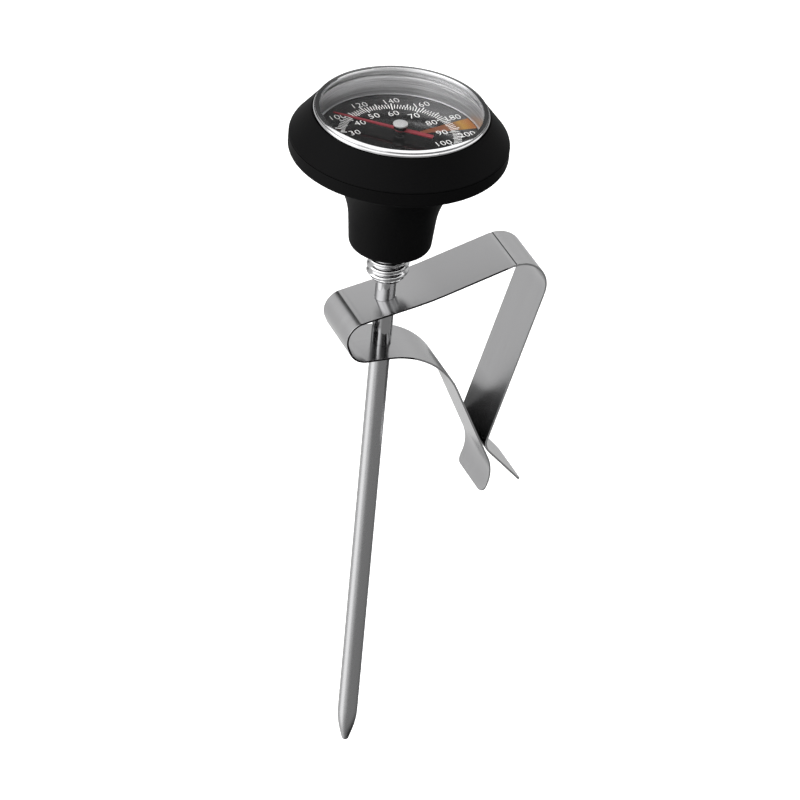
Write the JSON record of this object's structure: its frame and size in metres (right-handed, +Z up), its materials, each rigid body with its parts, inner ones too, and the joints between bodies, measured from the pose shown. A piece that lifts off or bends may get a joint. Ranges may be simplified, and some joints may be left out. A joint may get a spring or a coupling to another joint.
{
  "type": "clip-on dial thermometer",
  "caption": "Bimetal dial thermometer: thin pointed steel stem, silicone-covered round head with a glazed dial, and a bent spring clip that grips a vessel's rim.",
  "frame": {"origin": "the point between the closed jaws of the spring clip, where it grips a vessel's rim", "axes": "+Z up along the stem towards the dial, +X from the stem towards the jaws, Y across the clip's width"},
  "size_m": [0.052, 0.0418, 0.1474],
  "materials": {
    "satin_steel": "satin rolled strip",
    "stem_steel": "satin drawn tube",
    "bimetal": "plain",
    "brass": "turned",
    "black_silicone": "matte moulded",
    "polished_steel": "polished",
    "case_steel": "satin",
    "seal_rubber": "matte",
    "glass": "clear",
    "turned_aluminium": "turned, with fine rings",
    "dial_paint": "matte dark grey with white figures",
    "red_paint": "satin red",
    "dark_steel": "blackened",
    "cap_steel": "satin"
  },
  "bodies": {
    "clip": {"clip_frame": "satin_steel"},
    "jaw": {"clip_outer_leg": "satin_steel"},
    "stem": {"stem_tube": "stem_steel", "helix_anchor_plug": "stem_steel", "bimetal_helix": "bimetal", "lower_guide_bush": "brass", "upper_guide_bush": "brass"},
    "head": {"silicone_cover": "black_silicone", "bezel_ring": "polished_steel", "case_cup": "case_steel", "case_seal_washer": "seal_rubber", "case_locknut": "case_steel", "threaded_collar": "polished_steel", "lens_glass": "glass", "lens_gasket": "seal_rubber", "spacer_ring": "turned_aluminium", "dial_plate": "dial_paint"},
    "pointer": {"pointer_needle": "red_paint", "pointer_hub": "dark_steel", "hub_cap": "cap_steel", "pointer_spindle": "dark_steel", "helix_ferrule": "brass"}
  },
  "joints": [
    {"name": "jaw_spring", "type": "hinge", "parent": "clip", "child": "jaw", "pos_m": [0.00779, 0, 0.03999], "axis": [0, -1, 0], "range_deg": [0, 12], "stiffness_Nm_per_rad": 0.6, "springref_deg": -5.73},
    {"name": "depth_slide", "type": "slide", "parent": "clip", "child": "stem", "axis": [0, 0, 1], "range_m": [-0.003, 0.08]},
    {"name": "head_swivel", "type": "hinge", "parent": "stem", "child": "head", "pos_m": [-0.0217, 0, 0], "axis": [0, 0, 1], "continuous": true},
    {"name": "pointer_turn", "type": "hinge", "parent": "head", "child": "pointer", "pos_m": [-0.0217, 0, 0.07215], "axis": [0, 0, 1], "range_deg": [-171, 19], "stiffness_Nm_per_rad": 0.00005}
  ]
}
